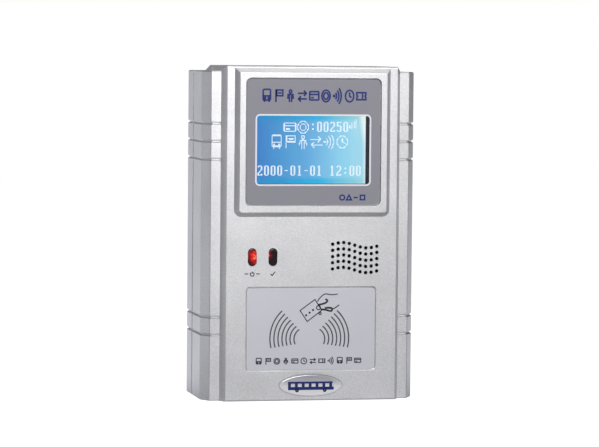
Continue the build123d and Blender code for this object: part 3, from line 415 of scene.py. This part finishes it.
BRUSHED = {
    "zinc_steel": dict(dark=(168, 171, 176), light=(206, 209, 212), rough=(0.26, 0.38)),
    "bright_can": dict(dark=(186, 186, 182), light=(222, 222, 218), rough=(0.2, 0.3)),
    "nickel": dict(dark=(186, 180, 168), light=(218, 212, 200), rough=(0.16, 0.26), lines=(12, 12, 1)),
    "lock_chrome": dict(dark=(206, 207, 210), light=(236, 237, 239), rough=(0.08, 0.16), lines=(8, 8, 8)),
    "brass": dict(dark=(190, 154, 84), light=(222, 188, 116), rough=(0.22, 0.34), lines=(1, 30, 1)),
    "copper": dict(dark=(188, 116, 78), light=(222, 150, 108), rough=(0.25, 0.4)),
}


def material_of(slot):
    if slot in GRAINED:
        return grained(slot, **GRAINED[slot])
    if slot in BRUSHED:
        return brushed(slot, **BRUSHED[slot])
    return SPECIAL[slot]()


def paint_frame():
    """Gives every CAD node the material of its slot."""
    slots = {part["node"]: part["material_slot"] for part in frame["record"]["subparts"]}
    materials = {slot: material_of(slot) for slot in sorted(set(slots.values()))}
    for node, piece in frame["nodes"].items():
        piece.data.materials.clear()
        piece.data.materials.append(materials[slots[node]])


# ---- Inks ------------------------------------------------------------------------------

def ink(name, dark, light):
    """Screen-printed ink, a little uneven where it lies thin."""
    return grained(name, dark, light, 0.35, (0.35, 0.5), 0.004)


def dot_light():
    """Lit dots of the display, a little uneven."""
    look = Look("dot_light", Base_Color=(0.1, 0.12, 0.14, 1.0), Roughness=0.4, Emission_Strength=1.0)
    stops = [(0.2, srgb(226, 243, 255)), (0.8, srgb(250, 254, 255))]
    look.set(Emission_Color=look.ramp(look.noise(1.2), stops))
    return look.material


# ---- Flat shapes, drawn from the front in millimetres ----------------------------------
# A stroke is a list of (x, z) points and whether it closes on itself.

def line(*points):
    return list(points), False


def loop(*points):
    return list(points), True


def arc(x, z, radius, start, end, steps=12):
    """Points on a circle from one angle to another, anticlockwise from the right, in degrees."""
    angles = (math.radians(start + (end - start) * k / steps) for k in range(steps + 1))
    return line(*[(x + radius * math.cos(a), z + radius * math.sin(a)) for a in angles])


def circle(x, z, radius, steps=20):
    points, _ = arc(x, z, radius, 0, 360 - 360 / steps, steps - 1)
    return loop(*points)


def rectangle(x0, z0, x1, z1):
    return loop((x0, z0), (x1, z0), (x1, z1), (x0, z1))


def rounded(x0, z0, x1, z1, radius):
    """A rectangle with rounded corners."""
    points = []
    for x, z, start in ((x1, z1, 0), (x0, z1, 90), (x0, z0, 180), (x1, z0, 270)):
        inward_x = radius if x == x0 else -radius
        inward_z = radius if z == z0 else -radius
        points += arc(x + inward_x, z + inward_z, radius, start, start + 90, 6)[0]
    return loop(*points)


def through(first, middle, last, steps=16):
    """An arc of a circle through three points."""
    (ax, az), (bx, bz), (cx, cz) = first, middle, last
    double = 2 * (ax * (bz - cz) + bx * (cz - az) + cx * (az - bz))
    squares = [x * x + z * z for x, z in (first, middle, last)]
    x = (squares[0] * (bz - cz) + squares[1] * (cz - az) + squares[2] * (az - bz)) / double
    z = (squares[0] * (cx - bx) + squares[1] * (ax - cx) + squares[2] * (bx - ax)) / double
    start = math.degrees(math.atan2(az - z, ax - x))
    end = math.degrees(math.atan2(cz - z, cx - x))
    turn = (end - start + 180) % 360 - 180
    return arc(x, z, math.hypot(ax - x, az - z), start, start + turn, steps)


def smooth(*points, steps=6):
    """A smooth line through given points."""
    padded = [points[0], *points, points[-1]]
    path = [points[0]]
    for a, b, c, d in zip(padded, padded[1:], padded[2:], padded[3:]):
        for k in range(1, steps + 1):
            t = k / steps
            path.append(tuple(0.5 * (2 * q + (r - p) * t + (2 * p - 5 * q + 4 * r - s) * t ** 2
                                     + (3 * q - p - 3 * r + s) * t ** 3)
                              for p, q, r, s in zip(a, b, c, d)))
    return line(*path)


# Pictograms in a unit square: x to the right, z up.
SYMBOLS = {
    "bus": [rounded(0.1, 0.14, 0.9, 1.0, 0.12), line((0.1, 0.48), (0.9, 0.48)),
            circle(0.3, 0.3, 0.05, 8), circle(0.7, 0.3, 0.05, 8),
            line((0.24, 0.12), (0.24, 0.0)), line((0.76, 0.12), (0.76, 0.0))],
    "stop": [line((0.2, 0.0), (0.2, 1.0)), rectangle(0.28, 0.5, 0.95, 0.95),
             line((0.42, 0.72), (0.8, 0.72))],
    "person": [circle(0.5, 0.84, 0.13, 12), line((0.2, 0.26), (0.24, 0.6), (0.76, 0.6), (0.8, 0.26)),
               line((0.38, 0.54), (0.38, 0.0)), line((0.62, 0.54), (0.62, 0.0))],
    "change": [line((0.0, 0.7), (0.88, 0.7)), line((0.66, 0.92), (0.92, 0.7), (0.66, 0.48)),
               line((1.0, 0.26), (0.12, 0.26)), line((0.34, 0.48), (0.08, 0.26), (0.34, 0.04))],
    "card": [rounded(0.0, 0.18, 1.0, 0.84, 0.08), line((0.04, 0.62), (0.96, 0.62)),
             line((0.14, 0.36), (0.46, 0.36))],
    "waves": [circle(0.1, 0.5, 0.05, 8), *[arc(0.0, 0.5, r, -45, 45, 8) for r in (0.36, 0.62, 0.88)]],
    "coin": [circle(0.5, 0.5, 0.46), circle(0.5, 0.5, 0.26, 16)],
    "clock": [circle(0.5, 0.5, 0.46), line((0.5, 0.8), (0.5, 0.5), (0.72, 0.38))],
    "ticket": [loop((0.0, 0.22), (1.0, 0.22), (1.0, 0.4), (0.9, 0.5), (1.0, 0.6), (1.0, 0.78), (0.0, 0.78),
                    (0.0, 0.6), (0.1, 0.5), (0.0, 0.4)),
               line((0.64, 0.3), (0.64, 0.7))],
    "power": [arc(0.5, 0.44, 0.4, 122, 418, 16), line((0.5, 0.52), (0.5, 1.0))],
    "tick": [line((0.05, 0.5), (0.36, 0.14), (0.95, 0.94))],
    "ring": [circle(0.5, 0.5, 0.4, 16)],
    "square": [rectangle(0.14, 0.14, 0.86, 0.86)],
    "dash": [line((0.15, 0.5), (0.85, 0.5))],
    "triangle": [loop((0.08, 0.12), (0.92, 0.12), (0.5, 0.9))],
    "signal": [line((x, 0.0), (x, top)) for x, top in ((0.1, 0.3), (0.36, 0.5), (0.62, 0.75), (0.88, 1.0))],
}


def placed(strokes, x, z, size):
    """Strokes moved from the unit square to a (width, height) box centred on (x, z)."""
    return [([(x + (u - 0.5) * size[0], z + (v - 0.5) * size[1]) for u, v in points], closed)
            for points, closed in strokes]


def in_row(names, start, end, z, size):
    """Pictograms spread evenly between two x limits."""
    step = (end - start) / len(names)
    strokes = []
    for k, name in enumerate(names):
        strokes += placed(SYMBOLS[name], start + (k + 0.5) * step, z, size)
    return strokes


# ---- Mesh building ---------------------------------------------------------------------

INK = 0.04 * MM


def offsets(points, closed, half):
    """The two edges of a line of width 2 * half, with mitred corners."""
    edges = ([], [])
    for k, (x, z) in enumerate(points):
        before = points[k - 1] if k or closed else None
        after = points[(k + 1) % len(points)] if k + 1 < len(points) or closed else None
        turns = [(b[0] - a[0], b[1] - a[1]) for a, b in ((before, (x, z)), ((x, z), after)) if a and b]
        normals = [(-dz / math.hypot(dx, dz), dx / math.hypot(dx, dz)) for dx, dz in turns]
        nx, nz = (sum(part) / len(normals) for part in zip(*normals))
        reach = half / max(nx * nx + nz * nz, 0.2)
        for edge, side in zip(edges, (1, -1)):
            edge.append((x + side * nx * reach, z + side * nz * reach))
    return edges


def add_stroke(mesh, stroke, width, back, front):
    """A drawn line as a thin closed solid between two depths."""
    points, closed = stroke
    left, right = offsets(points, closed, width / 2)
    sections = []
    for a, b in zip(left, right):
        corners = [(a, front), (b, front), (b, back), (a, back)]
        sections.append([mesh.verts.new((x * MM, y, z * MM)) for (x, z), y in corners])
    pairs = list(zip(sections, sections[1:]))
    if closed:
        pairs.append((sections[-1], sections[0]))
    else:
        mesh.faces.new(sections[0])
        mesh.faces.new(sections[-1])
    for here, there in pairs:
        for k in range(4):
            mesh.faces.new((here[k], here[(k + 1) % 4], there[(k + 1) % 4], there[k]))


def add_plate(mesh, points, back, front):
    """A filled outline as a thin closed solid between two depths."""
    near, far = ([mesh.verts.new((x * MM, y, z * MM)) for x, z in points] for y in (front, back))
    mesh.faces.new(near)
    mesh.faces.new(far)
    for k, corner in enumerate(near):
        after = (k + 1) % len(points)
        mesh.faces.new((corner, near[after], far[after], far[k]))


def piece(name, mesh, material, slot):
    """Turns a bmesh into an object that rides on the case."""
    bmesh.ops.recalc_face_normals(mesh, faces=mesh.faces)
    data = bpy.data.meshes.new(name)
    mesh.to_mesh(data)
    mesh.free()
    data.materials.append(material)
    made = bpy.data.objects.new(name, data)
    bpy.context.scene.collection.objects.link(made)
    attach(made, HOME)


def printed(name, strokes, width, surface, material, slot, plates=()):
    """Lines, and filled outlines, printed on a surface that faces the front at y=surface."""
    mesh = bmesh.new()
    for stroke in strokes:
        add_stroke(mesh, stroke, width, surface, surface - INK)
    for points, _ in plates:
        add_plate(mesh, points, surface, surface - INK)
    piece(name, mesh, material, slot)


# ---- Prints on the display panel -------------------------------------------------------

def panel_prints():
    """The title row, the small mark and the window's white line, placed from the panel's top and foot."""
    foot, top = PANEL_LOW.z / MM, PANEL_HIGH.z / MM
    navy = ink("navy_ink", (8, 30, 112), (16, 42, 128))
    white = ink("white_ink", (240, 241, 250), (250, 250, 255))
    names = ("bus", "stop", "person", "change", "card", "coin", "waves", "clock", "ticket")
    title = in_row(names, -32.6, 33.0, top - 10.2, (5.6, 7.6))
    mark = in_row(("ring", "triangle", "dash", "square"), 16.0, 32.8, foot + 4.6, (3.7, 3.7))
    border = rounded(-35.25, foot + 12.1, 35.25, top - 21.75, 2.2)
    printed("title_pictograms", title, 1.05, PANEL_LOW.y, navy, "grey_overlay")
    printed("panel_mark", mark, 0.9, PANEL_LOW.y, navy, "grey_overlay")
    printed("window_border", [border], 0.95, PANEL_LOW.y, white, "grey_overlay")


# ---- Dots of the display ---------------------------------------------------------------

DOT_PITCH = (0.51, 0.555)
DOT_GAP = 0.06
DOTS_WIDE, DOTS_HIGH = 128, 64
CELL = 16

# A figure is eleven rows of six dots; each letter stands for one kind of row.
GLYPH_ROWS = {"t": ".####.", "s": "##..##", "r": "....##", "l": "##....", "f": "######", "b": "#####.",
              "m": "..##..", "u": ".###..", "d": "...##.", "w": ".##...", ".": "......"}
GLYPHS = {"0": "tssssssssst", "1": "mummmmmmmmt", "2": "tsrrrdmwlsf", "5": "flllbrrrrst",
          ":": "..mm...mm..", "-": ".....t.....", " ": "..........."}


def text_dots(text, column, row):
    """Dots of a line of figures, each in a cell eight dots wide, under two blank rows."""
    dots = []
    for place, character in enumerate(text):
        for down, kind in enumerate(GLYPHS[character]):
            dots += [(column + place * CELL // 2 + 1 + k, row + 2 + down)
                     for k, mark in enumerate(GLYPH_ROWS[kind]) if mark == "#"]
    return dots


def distance(x, z, a, b):
    """How far a point is from the line between two others."""
    dx, dz = b[0] - a[0], b[1] - a[1]
    share = ((x - a[0]) * dx + (z - a[1]) * dz) / max(dx * dx + dz * dz, 1e-9)
    share = min(max(share, 0.0), 1.0)
    return math.hypot(x - a[0] - share * dx, z - a[1] - share * dz)


def icon_dots(name, column, row, size=14):
    """Dots of a pictogram: those whose centres lie close to one of its lines."""
    reach = 0.58 / size
    dots = []
    for down in range(CELL):
        for over in range(CELL):
            x, z = (over - 0.5) / size, 1 - (down - 0.5) / size
            for points, closed in SYMBOLS[name]:
                ends = points[1:] + points[:1] if closed else points[1:]
                if any(distance(x, z, a, b) < reach for a, b in zip(points, ends)):
                    dots.append((column + over, row + down))
                    break
    return dots


def display_dots():
    """Every lit dot is its own small raised square on the cell."""
    first, second, last = 0, CELL, 3 * CELL
    lit = icon_dots("card", 32, first) + icon_dots("coin", 48, first) + text_dots(":00250", 64, first)
    lit += icon_dots("signal", 111, first - 2, 10)
    for k, name in enumerate(("bus", "stop", "person", "change", "waves", "clock")):
        lit += icon_dots(name, CELL * (k + 1), second)
    lit += text_dots("2000-01-01 12:00", 0, last)
    half_x, half_z = ((pitch - DOT_GAP) / 2 for pitch in DOT_PITCH)
    mesh = bmesh.new()
    for column, row in sorted(set(lit)):
        x = GLASS_MID.x / MM + (column - DOTS_WIDE / 2 + 0.5) * DOT_PITCH[0]
        z = GLASS_MID.z / MM + (DOTS_HIGH / 2 - row - 0.5) * DOT_PITCH[1]
        dot, _ = rectangle(x - half_x, z - half_z, x + half_x, z + half_z)
        add_plate(mesh, dot, GLASS_FRONT, GLASS_FRONT - INK)
    piece("display_dots", mesh, dot_light(), "display_cell")


# ---- Prints on the case, the card label and the badge ----------------------------------

CARD_INK = ink("card_ink", (14, 15, 18), (26, 27, 31))
LAMP_LABEL_DROP = 10.1


def lamp_labels():
    """A power sign between two dashes under the first lamp, and a tick under the second."""
    power_x, ok_x = POWER_MID.x / MM, OK_MID.x / MM
    z = POWER_MID.z / MM - LAMP_LABEL_DROP
    strokes = placed(SYMBOLS["power"], power_x, z, (2.9, 2.9))
    for side in (-1, 1):
        strokes.append(line((power_x + side * 2.5, z), (power_x + side * 4.6, z)))
    strokes += placed(SYMBOLS["tick"], ok_x, z, (3.2, 3.0))
    printed("lamp_labels", strokes, 0.6, BAND_FRONT, CARD_INK, "silver_paint")


def on_label(name, strokes, width, material, plates=()):
    """Prints on the card label, drawn from its middle."""
    x, z = LABEL_MID.x / MM, LABEL_MID.z / MM
    lines, fills = ([([(x + u, z + v) for u, v in points], closed) for points, closed in group]
                    for group in (strokes, plates))
    printed(name, lines, width, LABEL_FRONT, material, "card_label", fills)


def between(a, b, share):
    return tuple(p + (q - p) * share for p, q in zip(a, b))


def wave_arcs():
    """Seven arcs on each side of the card symbol."""
    outer = ((-17.8, 11.0), (-25.2, -4.6), (-24.5, -11.6))
    inner = ((-7.1, -0.4), (-10.3, -5.6), (-9.6, -9.4))
    axis, count = -0.8, 7
    strokes = []
    for k in range(count):
        points = [between(a, b, k / (count - 1)) for a, b in zip(outer, inner)]
        strokes.append(through(*points))
        strokes.append(through(*[(2 * axis - x, z) for x, z in points]))
    on_label("card_waves", strokes, 0.8, ink("wave_ink", (62, 64, 70), (80, 82, 88)))


def card_and_hand():
    """A hand holds a card to the reading area."""
    card = loop((-6.7, 11.1), (2.5, 17.8), (6.7, 11.2), (-2.2, 4.4))
    upper = smooth((4.0, 16.6), (5.8, 19.0), (8.8, 21.1), (12.8, 20.6), (16.6, 21.1))
    lower = smooth((11.6, 12.7), (14.2, 12.2), (17.6, 14.4))
    finger = smooth((4.6, 14.5), (8.6, 15.5), (10.2, 16.9), (9.0, 18.1))
    knuckle = smooth((6.4, 11.8), (9.4, 11.4), (12.4, 10.7), (13.2, 12.0), (11.6, 12.7), (8.6, 12.5))
    thumb = circle(4.7, 12.8, 1.25, 14)
    tip = circle(5.7, 9.3, 0.7, 10)
    marks = [circle(x, z, 0.7, 8) for x, z in ((-2.9, 8.2), (-0.8, 9.8), (1.3, 11.4))]
    on_label("card_symbol", [card, upper, lower, thumb, tip], 0.62, CARD_INK, marks)
    on_label("hand_symbol", [finger, knuckle], 1.1, CARD_INK)


def label_line():
    """The row of small pictograms at the foot of the label."""
    names = ("bus", "stop", "coin", "person", "card", "clock", "change", "ticket", "waves", "bus", "stop",
             "card")
    row = in_row(names, -34.8, 32.2, -19.6, (3.9, 3.9))
    on_label("label_pictograms", row, 0.6, ink("line_ink", (40, 40, 46), (58, 58, 64)))


def badge_mark():
    """A plain bus seen from the side: roof, pillars, body and wheels."""
    half, pillar, gaps = 14.2, 1.8, 6
    roof_end, last_pillar = half - 0.8, half - 1.0 - pillar
    floor, sill, roof, top = (BADGE_MID.z / MM + height for height in (-2.9, -1.0, 1.0, 2.2))
    plates = [rectangle(-half, roof, roof_end, top), rectangle(-half, floor, half, sill)]
    for k in range(gaps + 1):
        x = -half + k * (last_pillar + half) / gaps
        plates.append(rectangle(x, sill, x + pillar, roof))
    wheels = [circle(x, floor - 0.2, 0.7, 14) for x in (-8.6, 8.6)]
    printed("badge_mark", wheels, 1.0, BADGE_LOW.y, ink("badge_ink", (0, 22, 92), (2, 34, 112)),
            "badge_chrome", plates)


# ---- Light and floor -------------------------------------------------------------------

def area_light(name, place, aim, size, watts):
    light = bpy.data.lights.new(name, "AREA")
    light.shape = "RECTANGLE"
    light.size, light.size_y = size
    light.energy = watts
    lamp = bpy.data.objects.new(name, light)
    lamp.location = place
    lamp.visible_camera = False
    lamp.rotation_euler = (Vector(aim) - Vector(place)).to_track_quat("-Z", "Y").to_euler()
    bpy.context.scene.collection.objects.link(lamp)


def add_world():
    """A white backdrop. Beside the lamps, a ring in front and the left of the rear light the case."""
    world = bpy.data.worlds.new("studio")
    bpy.context.scene.world = world
    world.use_nodes = True
    nodes = Nodes(world.node_tree)

    def levels(value, stops):
        """Cool greys over a value that runs from -1 to 1."""
        greys = [((position + 1) / 2, (level, level, level * 1.03, 1.0)) for position, level in stops]
        return nodes.ramp(nodes.range(value, 0.0, 1.0, -1.0, 1.0), greys)

    way = nodes.add("TexCoord", {}).outputs["Generated"]
    split = nodes.add("SeparateXYZ", {0: way}).outputs
    front = levels(split["Y"], ((-1.0, 0.40), (-0.966, 0.46), (-0.935, 1.50), (-0.80, 0.98), (-0.45, 0.10),
                                (-0.20, 0.05), (1.0, 0.05)))
    right = nodes.math("MAXIMUM", split["X"])
    rear_left = nodes.math("ADD", nodes.math("MULTIPLY", right, -4.0), split["Y"])
    rear = levels(rear_left, ((-1.0, 0.0), (0.16, 0.0), (0.38, 0.48), (1.0, 0.52)))
    overhead = levels(split["Z"], ((-1.0, 1.0), (0.10, 1.0), (0.34, 0.30), (1.0, 0.30)))
    surround = nodes.tree.nodes["Background"]
    nodes.put(surround.inputs["Color"], nodes.vector("MULTIPLY", nodes.vector("ADD", front, rear), overhead))
    backdrop = nodes.add("Background", {"Color": WHITE})
    seen = nodes.add("LightPath", {}).outputs["Is Camera Ray"]
    chosen = nodes.add("MixShader", {0: seen, 1: surround.outputs[0], 2: backdrop.outputs[0]})
    nodes.put(nodes.tree.nodes["World Output"].inputs["Surface"], chosen.outputs[0])


def add_floor():
    """A plain pale floor just under the case; it reads as white and throws light up at the back."""
    mesh = bpy.data.meshes.new("floor")
    far = 3.0
    mesh.from_pydata([(-far, -far, 0), (far, -far, 0), (far, far, 0), (-far, far, 0)], [], [(0, 1, 2, 3)])
    floor = bpy.data.objects.new("floor", mesh)
    floor.location.z = SHELL_LOW.z - 0.2 * MM
    bpy.context.scene.collection.objects.link(floor)
    look = Look("pale_floor", Roughness=0.9, Specular_IOR_Level=0.0, Emission_Strength=1.0)
    behind = look.range(look.axis("Y"), 0.0, 1.0, -0.06, 0.12)
    seen = look.add("LightPath", {}).outputs["Is Camera Ray"]
    glow = look.ramp(behind, [(0.0, srgb(40, 40, 41)), (1.0, srgb(214, 216, 223))])
    look.set(Base_Color=look.ramp(look.noise(60), [(0.3, srgb(176, 176, 178)), (0.7, srgb(184, 184, 186))]),
             Emission_Color=look.mix(seen, glow, WHITE))
    mesh.materials.append(look.material)


# ---- Build -----------------------------------------------------------------------------

add_camera()
paint_frame()
panel_prints()
display_dots()
lamp_labels()
wave_arcs()
card_and_hand()
label_line()
badge_mark()
add_world()
area_light("key_softbox", place=(-0.04, -0.90, 0.53), aim=(0.0, 0.0, 0.15), size=(0.5, 0.32), watts=5.3)
area_light("top_softbox", place=(0.12, 0.08, 0.84), aim=(0.0, -0.03, 0.2), size=(0.4, 0.45), watts=0.9)
add_floor()
bpy.context.scene.view_settings.view_transform = "Standard"
